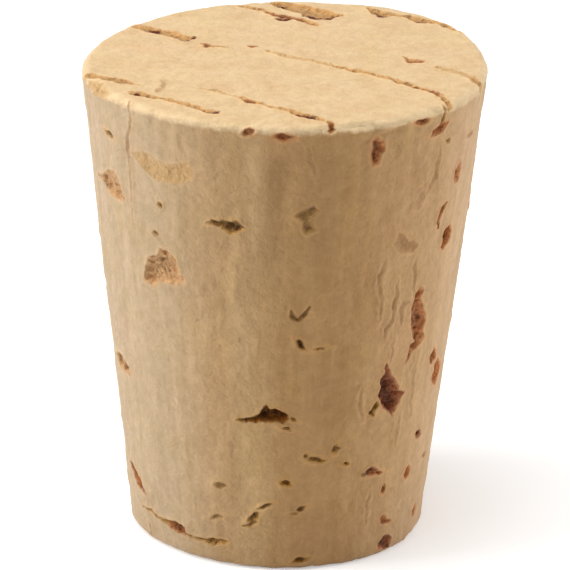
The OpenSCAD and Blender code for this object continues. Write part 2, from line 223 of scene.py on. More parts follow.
BACK_PITS = [
    (88, 21.7, 2.6, 0.9, 0.8, 6, "rust"), (94, 13.3, 1.5, 0.6, 0.5, -12, "brown"),
    (101, 27.2, 1.8, 0.6, 0.6, 0, "red"), (104, 5.1, 2.4, 0.8, 0.7, 14, "brown"),
    (116, 18.4, 3.2, 1.7, 0.9, -8, "orange"), (122, 9.7, 1.3, 0.6, 0.5, 30, "purple"),
    (129, 25.1, 1.2, 0.7, 0.5, 0, "brown"), (138, 2.1, 1.9, 0.5, 0.4, -4, "brown"),
    (141, 14.2, 2.2, 1, 0.9, 4, "black"), (150, 21.1, 1.6, 0.6, 0.5, -20, "brown"),
    (158, 7.2, 2.8, 1.3, 1, 10, "purple"), (163, 28.4, 1.4, 0.6, 0.5, 0, "red"),
    (171, 16.6, 1.1, 0.6, 0.4, 40, "olive"), (180, 23.3, 2.9, 1.1, 0.9, -3, "rust"),
    (186, 11.2, 3.6, 1.8, 1, 12, "orange"), (195, 3.6, 1.5, 0.6, 0.5, -15, "brown"),
    (202, 18.7, 1.7, 0.7, 0.6, 0, "black"), (211, 26.3, 2.2, 0.8, 0.7, 8, "brown"),
    (216, 8.8, 1.2, 0.5, 0.4, 0, "brown"), (224, 14.5, 2.4, 1.2, 0.9, -10, "rust"),
    (233, 21.7, 1.3, 0.6, 0.5, 25, "brown"), (238, 4.2, 2.1, 0.7, 0.6, 5, "purple"),
    (247, 10.9, 1.4, 0.6, 0.5, 0, "brown"), (254, 28.1, 1.6, 0.6, 0.5, 0, "red"),
    (259, 16.9, 3, 1.4, 0.9, 6, "orange"), (268, 23.3, 1.5, 0.6, 0.5, -8, "brown"),
    (272, 7.2, 1.8, 0.8, 0.7, 0, "brown"), (107, 11.4, 0.6, 0.3, 0.3, 10, "brown"),
    (125, 15.2, 0.5, 0.3, 0.3, -20, "brown"), (133, 20.3, 0.8, 0.25, 0.25, 8, "olive"),
    (147, 6.2, 0.5, 0.4, 0.35, 0, "dark"), (155, 17.4, 0.9, 0.25, 0.25, 15, "olive"),
    (168, 11.9, 0.5, 0.35, 0.3, -10, "brown"), (176, 4.6, 0.7, 0.3, 0.3, 20, "brown"),
    (191, 20.9, 0.5, 0.4, 0.3, 0, "red"), (199, 13.6, 0.6, 0.25, 0.3, -15, "brown"),
    (207, 5.9, 0.5, 0.4, 0.35, 10, "rust"), (219, 19.4, 0.7, 0.3, 0.25, 30, "olive"),
    (229, 11.2, 0.5, 0.35, 0.3, 0, "brown"), (241, 25.2, 0.6, 0.3, 0.3, -10, "brown"),
    (251, 6.9, 0.6, 0.3, 0.3, 15, "dark"), (263, 13.1, 0.5, 0.3, 0.3, 0, "brown"),
    (277, 19.8, 0.7, 0.35, 0.3, -20, "brown"), (281, 3.1, 0.8, 0.3, 0.3, 8, "olive"),
]

# Cracks and creases on the side: stain, depth, then bearing, height and width along the line
CRACKS = [
    ("faint", 0.14, [
        (-48.9, 30.2, 0.2), (-48.5, 29.5, 0.2), (-48.6, 28.6, 0.2), (-50.4, 27.9, 0.2),
        (-50.8, 27.2, 0.35),
    ]),
    ("faint", 0.12, [
        (-50.8, 27.2, 0.35), (-50.7, 26, 0.15), (-51.1, 24.6, 0.15), (-51.3, 22.9, 0.12),
        (-51.9, 22, 0.1),
    ]),
    ("olive", 0.35, [
        (3.5, 18.1, 0.2), (4.2, 17.65, 0.4), (5.8, 17.45, 0.3), (7.4, 17.8, 0.4), (8.9, 18.3, 0.2),
    ]),
    ("brown", 0.5, [
        (-63, 2.05, 0.16), (-58, 2.1, 0.2), (-52.1, 1.9, 0.26), (-46, 1.9, 0.5), (-43, 1.85, 0.68),
        (-39.9, 1.85, 0.55), (-37.9, 1.65, 0.2), (-32.7, 1.45, 0.2), (-28.6, 1.45, 0.32),
        (-24.5, 1.55, 0.46), (-20.3, 1.65, 0.3), (-19.1, 1.7, 0.1),
    ]),
    ("gash", 0.5, [
        (-48.5, 1.9, 0.2), (-45, 1.85, 0.55), (-42, 1.8, 0.7), (-39.5, 1.75, 0.5), (-37.5, 1.65, 0.15),
    ]),
    ("brown", 0.3, [(-23.3, 23.45, 0.1), (-21, 23.7, 0.16), (-18.5, 23.5, 0.24)]),
    ("brown", 0.3, [(-12.4, 23.6, 0.24), (-11, 23.45, 0.1)]),
    ("dark", 0.25, [(-14.8, 10.45, 0.1), (-12.2, 10.45, 0.22), (-8.6, 10.7, 0.26)]),
    ("brown", 0.2, [(-13.3, 3, 0.1), (-10.9, 3.1, 0.3), (-8.3, 3.45, 0.3)]),
    ("crease", 0.45, [
        (33.8, 20.9, 0.17), (32.7, 20.45, 0.41), (32.1, 19.9, 0.44), (32, 19.1, 0.37), (33.1, 18.3, 0.27),
        (33.1, 17.6, 0.34), (33.3, 16.9, 0.17),
    ]),
    ("crease", 0.5, [
        (39, 19.3, 0.2), (39.2, 18.45, 0.34), (38.4, 17.8, 0.48), (38.2, 17.1, 0.37), (37.4, 16.4, 0.34),
        (36.1, 16.1, 0.44), (35.8, 15.5, 0.2),
    ]),
    ("crease", 0.35, [
        (44.5, 17.6, 0.17), (42, 17.6, 0.41), (41.4, 17.25, 0.41), (41.8, 16.6, 0.34), (42.6, 16.1, 0.17),
    ]),
    ("crease", 0.4, [
        (28.7, 12.4, 0.17), (28.2, 11.9, 0.34), (28.3, 11.3, 0.41), (29, 10.65, 0.34), (30.2, 10.1, 0.17),
    ]),
    ("crease", 0.3, [(39.8, 15.4, 0.17), (39.9, 14.5, 0.34), (39.6, 13.7, 0.17)]),
    ("crease", 0.25, [(7, 29.1, 0.15), (8, 28, 0.3), (10, 26.7, 0.15)]),
    ("crease", 0.35, [(46.2, 20.6, 0.2), (45.2, 19.8, 0.4), (45.8, 18.6, 0.35), (46.6, 17.9, 0.2)]),
    ("crease", 0.2, [(52.4, 13.6, 0.2), (51.2, 12.4, 0.4), (51.6, 10.6, 0.35), (53, 9.4, 0.2)]),
    ("crease", 0.3, [(46.8, 9.8, 0.2), (46, 8.8, 0.4), (46.6, 7.6, 0.2)]),
    ("crease", 0.2, [(36.6, 4.9, 0.2), (35.4, 3.9, 0.35), (35.8, 2.7, 0.2)]),
    ("brown", 0.4, [(51.2, 30.15, 0.12), (51.1, 29.75, 0.28), (50.4, 29.35, 0.3), (49.6, 28.95, 0.2)]),
    ("rust", 0.3, [(48.6, 14.5, 0.3), (48, 13.9, 0.3), (46.8, 13.2, 0.14)]),
    ("red", 0.6, [
        (57.4, 23.5, 0.15), (56.1, 23.25, 0.34), (54.9, 22.95, 0.4), (54.3, 22.4, 0.32), (54.2, 22, 0.15),
    ]),
    ("faint", 0.15, [
        (50.2, 28, 0.12), (50.6, 27, 0.2), (50.2, 26.3, 0.4), (49.8, 25.5, 0.5), (48.4, 25, 0.4),
        (47.3, 24.6, 0.2),
    ]),
    ("crease", 0.3, [(128, 12.6, 0.2), (127.2, 11, 0.4), (128, 9, 0.2)]),
    ("crease", 0.35, [(173, 26.8, 0.2), (172.2, 25.3, 0.4), (172.8, 23.6, 0.2)]),
    ("crease", 0.3, [(205, 16.5, 0.2), (204, 15, 0.4), (204.6, 13.2, 0.2)]),
    ("faint", 0.25, [(228, 29.9, 0.2), (227.2, 28.2, 0.25), (228.3, 26, 0.15), (227.8, 24, 0.1)]),
    ("brown", 0.4, [(243, 1.8, 0.15), (249, 1.9, 0.3), (255, 1.7, 0.35), (261, 1.8, 0.15)]),
    ("faint", 0.1, [(-59.4, 1.1, 0.15), (-58.8, 0.5, 0.2), (-58.9, 0.1, 0.15)]),
]

# Growth seams in the wide end: stain, depth, then x, y and width in mm along the line
TOP_SEAMS = [
    ("seam", 0.3, [
        (-9.65, 6.25, 0.5), (-8.55, 5.45, 1), (-7.15, 4.7, 0.9), (-6.15, 4.1, 0.7), (-5.65, 3.75, 0.2),
    ]),
    ("seam", 0.2, [(-5.15, 2.85, 0.2), (-4.85, 2.6, 0.4), (-4.25, 2.45, 0.3), (-3.55, 2.25, 0.08)]),
    ("ochre", 0.08, [(-1.15, 1.7, 0.1), (0.05, 0.8, 0.35), (1.65, -0.15, 0.4), (3.05, -1.05, 0.35)]),
    ("seam", 0.3, [
        (2.95, -0.95, 0.25), (3.75, -1.55, 0.5), (4.35, -1.85, 0.75), (4.95, -2.05, 0.3),
        (5.65, -2.7, 0.3), (6.35, -3.3, 0.35), (7.55, -4.4, 0.35), (8.25, -5, 0.4), (8.85, -5.65, 0.3),
        (9.45, -6.55, 0.32), (9.85, -7.65, 0.35), (9.85, -8.35, 0.2),
    ]),
    ("seam", 0.4, [
        (-12, -3.15, 0.4), (-11.3, -3.7, 0.7), (-10.4, -4.1, 0.7), (-9.6, -4.6, 0.6), (-8.8, -5.2, 0.25),
    ]),
    ("seam", 0.35, [
        (-9.2, -6.6, 0.3), (-8.6, -6.9, 0.8), (-7.9, -7.35, 0.4), (-6.6, -7.95, 0.32),
        (-5.7, -8.55, 0.25), (-5.2, -8.95, 0.4), (-4.8, -9.5, 0.3), (-4.4, -9.8, 0.65),
        (-3.8, -10.1, 0.2),
    ]),
    ("faint", 0.12, [(-7.45, -3.85, 0.1), (-7.2, -4.95, 0.25), (-7.2, -5.65, 0.25), (-7.6, -6.35, 0.4)]),
    ("ochre", 0.15, [(-4.95, -5.55, 0.1), (-3.95, -6.1, 0.25), (-2.95, -6.8, 0.3), (-2.35, -7.4, 0.4)]),
    ("seam", 0.3, [
        (-2.55, -7.1, 0.3), (-2.15, -7.7, 0.55), (-1.55, -8.1, 0.25), (-0.45, -8.85, 0.3),
        (0.45, -9.35, 0.35), (1.15, -10.15, 0.7), (1.75, -10.65, 0.35), (2.35, -11.05, 0.3),
        (2.95, -11.9, 0.35),
    ]),
    ("seam", 0.3, [(7.25, 1, 0.15), (7.55, 0.5, 0.55), (7.95, 0.2, 0.5), (8.45, 0, 0.15)]),
    ("ochre", 0.15, [(9.25, -0.8, 0.2), (9.85, -1.35, 0.45), (10.65, -1.95, 0.45), (11.25, -2.55, 0.4)]),
    ("seam", 0.3, [(11.15, -2.45, 0.3), (11.65, -3.45, 0.4), (11.95, -4.55, 0.4), (12.05, -5.75, 0.2)]),
    ("seam", 0.5, [
        (-1.05, 11.6, 0.4), (-0.35, 11.15, 0.9), (0.85, 10.3, 1.5), (2.05, 9.4, 1.5), (2.95, 9, 0.9),
        (3.65, 9.05, 0.25),
    ]),
    ("seam", 0.35, [
        (-2.85, 10.55, 0.3), (-1.55, 9.75, 0.35), (-0.15, 8.4, 0.6), (0.65, 8.1, 0.5), (1.35, 7.6, 0.6),
        (1.95, 7, 0.3),
    ]),
    ("seam", 0.35, [
        (5.25, 10.45, 0.3), (5.75, 9.55, 0.8), (6.65, 9.35, 0.4), (7.65, 9, 0.5), (8.65, 8.3, 0.7),
        (9.45, 7.9, 0.4), (10.35, 7, 0.6), (10.95, 6.05, 0.3),
    ]),
]

# Dark breaks along those seams, in the same form
TOP_BREAKS = [
    ("deep", 0.5, [
        (1.05, 9.4, 0.25), (1.5, 8.95, 0.8), (2, 8.4, 0.85), (2.65, 8.4, 0.6), (3.2, 9.1, 0.25),
    ]),
    ("deep", 0.4, [(-0.8, 11.1, 0.4), (-0.35, 10.9, 0.8), (0.2, 10.4, 0.4), (0.8, 10, 0.15)]),
    ("deep", 0.5, [(-0.5, 8.1, 0.4), (-0.1, 7.95, 0.8), (0.35, 8.35, 0.4)]),
    ("gash", 0.4, [
        (-1.5, 9.65, 0.15), (-0.4, 8.9, 0.25), (0.7, 8.35, 0.3), (1.25, 7.5, 0.4), (1.8, 7, 0.35),
    ]),
    ("deep", 0.4, [(5.55, 9.65, 0.3), (6.05, 9.05, 0.7), (6.6, 9.3, 0.3)]),
    ("gash", 0.4, [(8, 8.4, 0.3), (8.5, 8, 0.6), (8.95, 8.2, 0.3)]),
    ("deep", 0.5, [(-8.5, 5.6, 0.3), (-8.15, 5.15, 0.8), (-7.9, 5.3, 0.4)]),
    ("deep", 0.5, [(-6.7, 3.95, 0.3), (-6.2, 3.6, 0.6), (-5.7, 4, 0.4)]),
    ("deep", 0.5, [(-9.15, -6.95, 0.3), (-8.8, -6.85, 0.6), (-8.4, -7.1, 0.4), (-7.9, -7.45, 0.2)]),
    ("deep", 0.3, [
        (-5.6, -8.9, 0.05), (-5.2, -9.1, 0.2), (-4.8, -9.6, 0.05), (-4.15, -9.85, 0.35),
        (-3.8, -9.9, 0.1),
    ]),
    ("deep", 0.4, [
        (-11.5, -3.75, 0.1), (-11, -4, 0.35), (-10.3, -4.45, 0.12), (-9.8, -4.7, 0.3), (-9.1, -5.1, 0.3),
    ]),
    ("gash", 0.3, [(-4.95, 2.9, 0.2), (-4.85, 2.5, 0.4), (-4.5, 2.45, 0.2)]),
    ("gash", 0.3, [(-2.15, 2.6, 0.2), (-2, 2.4, 0.35), (-1.85, 2.5, 0.15)]),
    ("gash", 0.3, [(7.4, 0.7, 0.2), (7.75, 0.2, 0.5), (8.3, 0.1, 0.3)]),
    ("gash", 0.3, [(-2.4, -7.3, 0.2), (-2.15, -7.65, 0.45), (-1.9, -7.8, 0.2)]),
    ("deep", 0.4, [(0.8, -9.8, 0.25), (1.15, -10.2, 0.55), (1.5, -10.45, 0.3)]),
    ("gash", 0.3, [(2.3, -11, 0.2), (2.7, -11.6, 0.4), (2.95, -11.9, 0.3)]),
    ("gash", 0.3, [(3.8, -1.6, 0.2), (4.3, -1.85, 0.4), (4.8, -2, 0.2)]),
    ("gash", 0.3, [
        (7.6, -4.5, 0.2), (7.9, -4.75, 0.35), (8.3, -5.05, 0.2), (8.7, -5.5, 0.35), (9.1, -5.9, 0.2),
    ]),
    ("gash", 0.3, [(10, 7.2, 0.2), (10.4, 6.8, 0.4), (10.8, 6.3, 0.3)]),
]

# Growth seams in the narrow end, in the same planes
BASE_SEAMS = [
    ("seam", 0.4, [
        (-8.5, 0.2, 0.3), (-7.2, -0.9, 0.6), (-5.7, -2.2, 0.35), (-4.6, -3.3, 0.7), (-3.5, -4.1, 0.3),
    ]),
    ("seam", 0.4, [
        (-6.5, 5.9, 0.3), (-4.8, 4.6, 0.5), (-3.1, 3.5, 0.8), (-1.5, 2.2, 0.35), (-0.2, 1.1, 0.2),
    ]),
    ("seam", 0.4, [
        (1.9, -0.7, 0.2), (3.3, -1.7, 0.7), (4.6, -2.6, 0.4), (6.3, -3.7, 0.5), (7.8, -4.6, 0.3),
    ]),
    ("seam", 0.4, [(0.6, 6.7, 0.3), (2.2, 5.6, 0.8), (3.7, 4.3, 0.4), (5.2, 3.1, 0.6), (6.7, 2.2, 0.2)]),
]


def linear(rgb):
    """Daylight colour from 0 to 255 as linear light from 0 to 1: a straight start, then a power of 2.4."""
    c = np.asarray(rgb, float) / 255
    return np.where(c <= 0.04045, c / 12.92, ((c + 0.055) / 1.055) ** 2.4)


def ease(t):
    """A smooth step from 0 to 1: three times the square less twice the cube."""
    t = np.clip(t, 0, 1)
    return t * t * (3 - 2 * t)


# Values in a noise's random table, and the multipliers that choose one for each corner of its lattice
NOISE_VALUES = 8192
NOISE_PICKS = (73856093, 19349663, 83492791)


def noise(cell, seed):
    """Smooth noise from -1 to 1 over the grid: random values on a lattice of that cell in mm, blended by a
    smooth step."""
    q = points / np.asarray(cell, float)
    i = np.floor(q).astype(np.int64)
    f = ease(q - i)
    values = np.random.default_rng(seed).uniform(-1, 1, NOISE_VALUES)
    total = np.zeros(points.shape[:-1])
    for corner in np.ndindex(2, 2, 2):
        pick = np.bitwise_xor.reduce((i + corner) * NOISE_PICKS, -1) % NOISE_VALUES
        total += np.prod(np.where(corner, f, 1 - f), -1) * values[pick]
    return total


def from_stretch(a, c, start, end):
    """Distance in mm from a straight stretch, and the share of the way along it at the nearest place: the
    offset from its start, projected on it and held between its ends."""
    dx = end[0] - start[0]
    dy = end[1] - start[1]
    t = np.clip(((a - start[0]) * dx + (c - start[1]) * dy) / (dx * dx + dy * dy), 0, 1)
    return np.hypot(a - start[0] - t * dx, c - start[1] - t * dy), t


def inside_polygon(a, c, corners):
    """Distance in mm from the outline of a polygon, positive inside it: a place is inside where a line to
    its right crosses the outline an odd number of times."""
    near = np.full(a.shape, 1e9)
    odd = np.zeros(a.shape, bool)
    for (x0, y0), (x1, y1) in zip(corners, corners[1:] + corners[:1]):
        near = np.minimum(near, from_stretch(a, c, (x0, y0), (x1, y1))[0])
        slope = (x1 - x0) / ((y1 - y0) or 1e-9)
        odd ^= ((y0 > c) != (y1 > c)) & (a < x0 + slope * (c - y0))
    return np.where(odd, near, -near)


def inside_oval(a, c, w, h, tilt):
    """About the distance in mm inside a tilted oval: 1 less the offset in half widths, times the smaller half
    width. The offset across counts for more towards the ends, which draws them out."""
    t = math.radians(tilt)
    u = (a * math.cos(t) + c * math.sin(t)) / (w / 2)
    v = (c * math.cos(t) - a * math.sin(t)) / (h / 2)
    return (1 - np.sqrt(u * u + v * v * (1 + 0.5 * u * u))) * min(w, h) / 2


def inside_line(a, c, run):
    """Distance in mm inside a line of varying width: half the width at the nearest place, less the distance
    from it, on the stretch that gives most."""
    best = np.full(a.shape, -1e9)
    for start, end in zip(run, run[1:]):
        away, t = from_stretch(a, c, start, end)
        best = np.maximum(best, (start[2] + (end[2] - start[2]) * t) / 2 - away)
    return best


def side_radius(z):
    """Radius of the round taper, which grows evenly with the height."""
    return BASE_R + (TOP_R - BASE_R) * z / LENGTH


def surface_radius(turn, z):
    """Distance of the side from the axis at a bearing in radians and a height: the least that the round
    grinding and the flats leave, eased where they meet, with the middle of the box round them on the axis."""
    centres = [np.zeros(2)]
    larger = [0]
    for bearing, depth in FLATS:
        a = math.radians(bearing)
        centres.append(FLAT_OFFSET * np.array([-math.sin(a), math.cos(a)]))
        larger.append(FLAT_OFFSET - depth)
    sides = np.array([(1, 0), (-1, 0), (0, 1), (0, -1)])
    reach = [min(side @ c + more for c, more in zip(centres, larger)) for side in sides]
    middle = np.array([reach[0] - reach[1], reach[2] - reach[3]]) / 2
    total = 0
    for c, more in zip(centres, larger):
        x, y = c - middle
        along = x * np.sin(turn) - y * np.cos(turn)
        aside = x * np.cos(turn) + y * np.sin(turn)
        distance = along + np.sqrt((side_radius(z) + more) ** 2 - aside ** 2)
        total = total + np.exp(-distance / FLAT_MEETS)
    return -FLAT_MEETS * np.log(total)


def profile():
    """Rows of the turned outline, from the middle of the narrow end round to the middle of the wide end:
    radius, height, way along the outline, which equals the height on the side, and outward lean. The rim
    is a tight corner that leans in to a slow shoulder."""
    taper = math.atan((TOP_R - BASE_R) / LENGTH)
    lean_in = math.radians(RIM_LEAN)
    foot_r = side_radius(FOOT) - FOOT / math.cos(taper)
    corner_z = LENGTH - RIM_SHOULDER * (1 - math.sin(lean_in)) - RIM_CORNER * math.sin(lean_in)
    corner_r = side_radius(corner_z) - RIM_CORNER / math.cos(taper)
    rim_r = corner_r + (RIM_CORNER - RIM_SHOULDER) * math.cos(lean_in)
    z0 = FOOT - FOOT * math.sin(taper)
    z1 = corner_z - RIM_CORNER * math.sin(taper)
    way_foot = z0 - FOOT * (math.pi / 2 - taper)
    way_shoulder = z1 + RIM_CORNER * (lean_in + taper)
    way_top = way_shoulder + RIM_SHOULDER * (math.pi / 2 - lean_in)
    base = np.linspace(BASE_HOLE, foot_r, ROWS["base"])[:-1]
    foot = np.linspace(-math.pi / 2, -taper, ROWS["foot"])[:-1]
    side = np.linspace(z0, z1, ROWS["side"])[:-1]
    corner = np.linspace(-taper, lean_in, ROWS["corner"])[:-1]
    shoulder = np.linspace(lean_in, math.pi / 2, ROWS["shoulder"])[:-1]
    top = np.linspace(rim_r, TOP_HOLE, ROWS["top"])
    radius = np.concatenate([
        base,
        foot_r + FOOT * np.cos(foot),
        side_radius(side),
        corner_r + RIM_CORNER * np.cos(corner),
        rim_r + RIM_SHOULDER * np.cos(shoulder),
        top,
    ])
    height = np.concatenate([
        base * 0,
        FOOT + FOOT * np.sin(foot),
        side,
        corner_z + RIM_CORNER * np.sin(corner),
        LENGTH - RIM_SHOULDER + RIM_SHOULDER * np.sin(shoulder),
        top * 0 + LENGTH,
    ])
    way = np.concatenate([
        way_foot - foot_r + base,
        z0 + FOOT * (foot + taper),
        side,
        z1 + RIM_CORNER * (corner + taper),
        way_shoulder + RIM_SHOULDER * (shoulder - lean_in),
        way_top + rim_r - top,
    ])
    flat_down = base * 0 - math.pi / 2
    flat_up = top * 0 + math.pi / 2
    lean = np.concatenate([flat_down, foot, side * 0 - taper, corner, shoulder, flat_up])
    return radius, height, way, lean


# The plain skin as a grid over bearing and way along the outline: each point's place, drawn in to the ground
# flats, and its outward direction
row_radius, row_height, row_way, row_lean = profile()
bearing = np.linspace(-180, 180, COLUMNS, endpoint=False)
turn = np.radians(bearing)[None, :]
height = np.repeat(row_height[:, None], COLUMNS, 1)
radius = row_radius[:, None] * surface_radius(turn, height) / side_radius(height)
points = np.stack([radius * np.sin(turn), -radius * np.cos(turn), height], -1)
lean = np.repeat(row_lean[:, None], COLUMNS, 1)
outward = np.stack([np.cos(lean) * np.sin(turn), -np.cos(lean) * np.cos(turn), np.sin(lean)], -1)
past_rim = np.repeat(row_way[:, None], COLUMNS, 1) - RIM_WAY
past_foot = np.repeat(row_way[:, None], COLUMNS, 1) - FOOT_WAY

# Ragged edges come from wandering the place at which each hollow is read. The back's ovals are lumpy too
wander_a = 0.11 * noise(0.45, 11) + 0.06 * noise(0.2, 12)
wander_c = 0.09 * noise(0.45, 13) + 0.05 * noise(0.2, 14)
crumb = noise(0.24, 15)
ragged = noise(0.5, 16)
lumpy_a = 0.4 * noise(1.2, 31)
lumpy_c = 0.4 * noise(1.2, 32)

# What the hollows leave at each point: depth, mm inside the nearest mouth, colour of the floor, how fully it
# covers the skin, and how strongly painted shade darkens it under its lips
depth = np.zeros(height.shape)
inside = np.full(height.shape, -1.0)
stain = np.ones(points.shape) * linear(STAINS["ochre"][0])
cover = np.zeros(height.shape)
lip_shade_strength = np.zeros(height.shape)


def away_from(place):
    """Degrees round from a bearing, from -180 to 180, over the columns."""
    return (bearing - place + 180) % 360 - 180


def on_side(place, rise, wide, high):
    """The rows and columns round a place on the side, with the mm right of it and above it there."""
    right = np.radians(away_from(place)) * side_radius(min(max(rise, 0), LENGTH))
    above = row_way - rise
    window = np.ix_(np.abs(above) < high, np.abs(right) < wide)
    return window, right[window[1]] + wander_a[window], above[window[0]] + wander_c[window]


def sink(window, distance, deep, key, wall):
    """Lowers the skin over the wall's width, by the distance in mm inside a hollow's mouth, and gives it the
    stain of the nearest hollow, darker towards the middle, and the strength of its painted shade under the
    lips."""
    colour, full, darker = STAINS[key]
    share = np.maximum(ease(distance / 0.1 + 0.5), distance > inside[window])
    middle = ease(distance / max(0.8 * distance.max(), 0.05))
    floor_colour = linear(colour) * (1.05 - darker * (0.2 + 0.8 * middle[..., None]))
    inside[window] = np.maximum(inside[window], distance)
    stain[window] += (floor_colour - stain[window]) * share[..., None]
    cover[window] += (full - cover[window]) * share
    # Strength of the painted shade that the floor gets under its lips
    lip_shade_strength[window] += (darker - lip_shade_strength[window]) * share
    drop = LOWERED * deep * ease(distance / wall) * (1 + 0.6 * crumb[window])
    depth[window] = np.maximum(depth[window], drop)


for place, rise, deep, key, corners in LARGE_PITS:
    window, a, c = on_side(place, rise, *LARGE_REACH)
    sink(window, inside_polygon(a, c, corners) + 0.04, deep, key, PIT_WALL)
for lumps, pits in ((0, FRONT_PITS), (1, BACK_PITS)):
    for place, rise, wide, high, deep, tilt, key in pits:
        window, a, c = on_side(place, rise, wide / 2 + OVAL_MARGIN, max(wide, high) / 2 + OVAL_MARGIN)
        mouth = inside_oval(a + lumps * lumpy_a[window], c + lumps * lumpy_c[window], wide, high, tilt)
        sink(window, mouth, deep, key, min(PIT_WALL, 0.32 * min(wide, high)))
for key, deep, run in CRACKS:
    place, rise, _ = run[len(run) // 2]
    window, a, c = on_side(place, rise, *CRACK_REACH)
    line = [(math.radians(x - place) * side_radius(rise), y - rise, w) for x, y, w in run]
    sink(window, inside_line(a, c, line), deep, key, CREASE_WALL if key == "crease" else CRACK_WALL)

# A seam of the wide end narrows where it runs over the rim and down the side
on_top = row_way > RIM_WAY - SEAM_REACH
on_base = row_way < FOOT_WAY
for rows, seams in ((on_top, TOP_SEAMS + TOP_BREAKS), (on_base, BASE_SEAMS)):
    window = np.ix_(rows, np.ones(COLUMNS, bool))
    a = points[window][..., 0] + wander_a[window]
    c = points[window][..., 1] + wander_c[window]
    down_side = np.where(past_rim[window] > -1, np.maximum(0.07 - past_rim[window], 0), 0)
    for key, deep, run in seams:
        mouth = inside_line(a, c, run) + 0.03 + 0.1 * ragged[window] - down_side
        sink(window, mouth, deep, key, SEAM_WALL)

# Painted shade: a floor on the side is darkened under its upper and left lips, where the overhanging wall
# shades it
near = np.clip(inside, -0.1, 0.6)
from_left = np.gradient(near, axis=1) / (radius * 2 * math.pi / COLUMNS)
from_above = -np.gradient(near, row_way, axis=0)
shade = np.clip(0.7 * from_left + 0.6 * from_above, 0, 1)
shade *= ease((near + 0.05) / 0.1) * ease((0.4 - near) / 0.3)
shade *= lip_shade_strength * ((past_foot > 0) & (past_rim < 0.02))
stain *= 1 - 0.8 * shade[..., None]

# The ground skin has slight hollows between the growth layers, upright grinding marks, small dents, lips at
# the hollows and a crumbly rim, most of all at the front right
on_rim = ease((past_rim + 0.68) / 0.5) * ease((0.82 - past_rim) / 0.7)
on_wall = ease((past_foot + 0.1) / 0.6) * ease((-0.38 - past_rim) / 0.5)
crumbly = 0.35 + 0.65 * ease(1 - np.abs(bearing - CRUMBLY_AT) / CRUMBLY_FADES)[None, :]
layers = 0.03 * noise(1.5, 20) + 0.05 * noise((3, 3, 9), 21)
grinding = 0.022 * noise((0.8, 0.8, 6), 22) * on_wall + 0.02 * noise(0.7, 23)
dents = 0.1 * np.clip(noise((0.55, 0.55, 0.8), 28) - 0.4, 0, 1)
lips = 0.012 * noise(0.3, 24) + 0.05 * np.exp(-((inside + 0.06) / 0.1) ** 2)
rim_losses = 0.32 * on_rim * crumbly * np.clip(noise(0.75, 25), 0, 1)
rim_crumbs = 0.12 * on_rim * crumbly * np.clip(noise(0.9, 30), 0, 1)
relief = layers + grinding - dents + lips - rim_losses + rim_crumbs
relief = np.where(past_foot < 0, np.minimum(relief - 0.05, 0), relief)

# Colour of the side's skin: the shades round it, darker at the foot in front, with the streaks over them
drift = 3 * noise((2.5, 2.5, 9), 26) + 1.2 * noise((0.8, 0.8, 4), 27)
anchors = [place for place, _ in SKIN]
shades = np.array([linear(colour) for _, colour in SKIN])
skin = np.stack([np.interp(bearing[None, :] + drift, anchors, channel) for channel in shades.T], -1)
skin *= 1 - 0.08 * (ease((7 - height) / 6) * ease((80 - np.abs(bearing)) / 25))[..., None]
waver = 0.25 * noise((0.9, 0.9, 2.5), 29)
for place, low, high, wide, darker in STREAKS:
    across = np.radians(away_from(place))[None, :] * radius + waver
    ends = ease((height - low) / 2) * ease((high - height) / 1.2)
    skin *= 1 - (darker * ends * np.exp(-2 * (across / wide) ** 2))[..., None]


def closed_mesh(name, grid):
    """A mesh in metres over a grid in mm that is closed round its columns, with a fan of triangles to a
    middle point at its first and last rows."""
    rows, cols = grid.shape[:2]
    poles = [(0, 0, grid[0, :, 2].mean()), (0, 0, grid[-1, :, 2].mean())]
    verts = np.concatenate([grid.reshape(-1, 3), poles]) / 1000
    k = np.arange(rows * cols).reshape(rows, cols)
    k1 = np.roll(k, -1, 1)
    quads = np.stack([k[:-1], k1[:-1], k1[1:], k[1:]], -1).reshape(-1, 4)
    fans = np.concatenate([
        np.stack([k1[0], k[0], np.full(cols, rows * cols)], -1),
        np.stack([k[-1], k1[-1], np.full(cols, rows * cols + 1)], -1),
    ])
    corners = np.concatenate([quads.ravel(), fans.ravel()])
    starts = np.concatenate([np.arange(len(quads)) * 4, len(quads) * 4 + np.arange(len(fans)) * 3])
    mesh = bpy.data.meshes.new(name)
    mesh.vertices.add(len(verts))
    mesh.vertices.foreach_set("co", verts.ravel())
    mesh.loops.add(len(corners))
    mesh.loops.foreach_set("vertex_index", corners)
    mesh.polygons.add(len(starts))
    mesh.polygons.foreach_set("loop_start", starts)
    mesh.update(calc_edges=True)
    return mesh


def keep(mesh, label, grid):
    """Keeps a number or a colour at each of the mesh's points, with the first and last rows' means at its
    middle points."""
    flat = grid.reshape(grid.shape[0], COLUMNS, -1)
    data = np.concatenate([flat.reshape(-1, flat.shape[-1]), flat[[0, -1]].mean(1)])
    kind, name = "FLOAT", "value"
    if grid.ndim == 3:
        kind, name = "FLOAT_COLOR", "color"
        data = np.c_[data, np.ones(len(data))]
    written = mesh.attributes.new(label, kind, "POINT")
    written.data.foreach_set(name, data.ravel().astype(np.float32))


def thin(mesh, target):
    """Collapses the edges that matter least, so that the pits keep close points and the plain skin few."""
    obj = bpy.data.objects.new("thinned", mesh)
    bpy.context.scene.collection.objects.link(obj)
    cut = obj.modifiers.new("thin", "DECIMATE")
    cut.ratio = target / (len(mesh.loops) - 2 * len(mesh.polygons))
    done = bpy.data.meshes.new_from_object(obj.evaluated_get(bpy.context.evaluated_depsgraph_get()))
    bpy.data.objects.remove(obj)
    return done


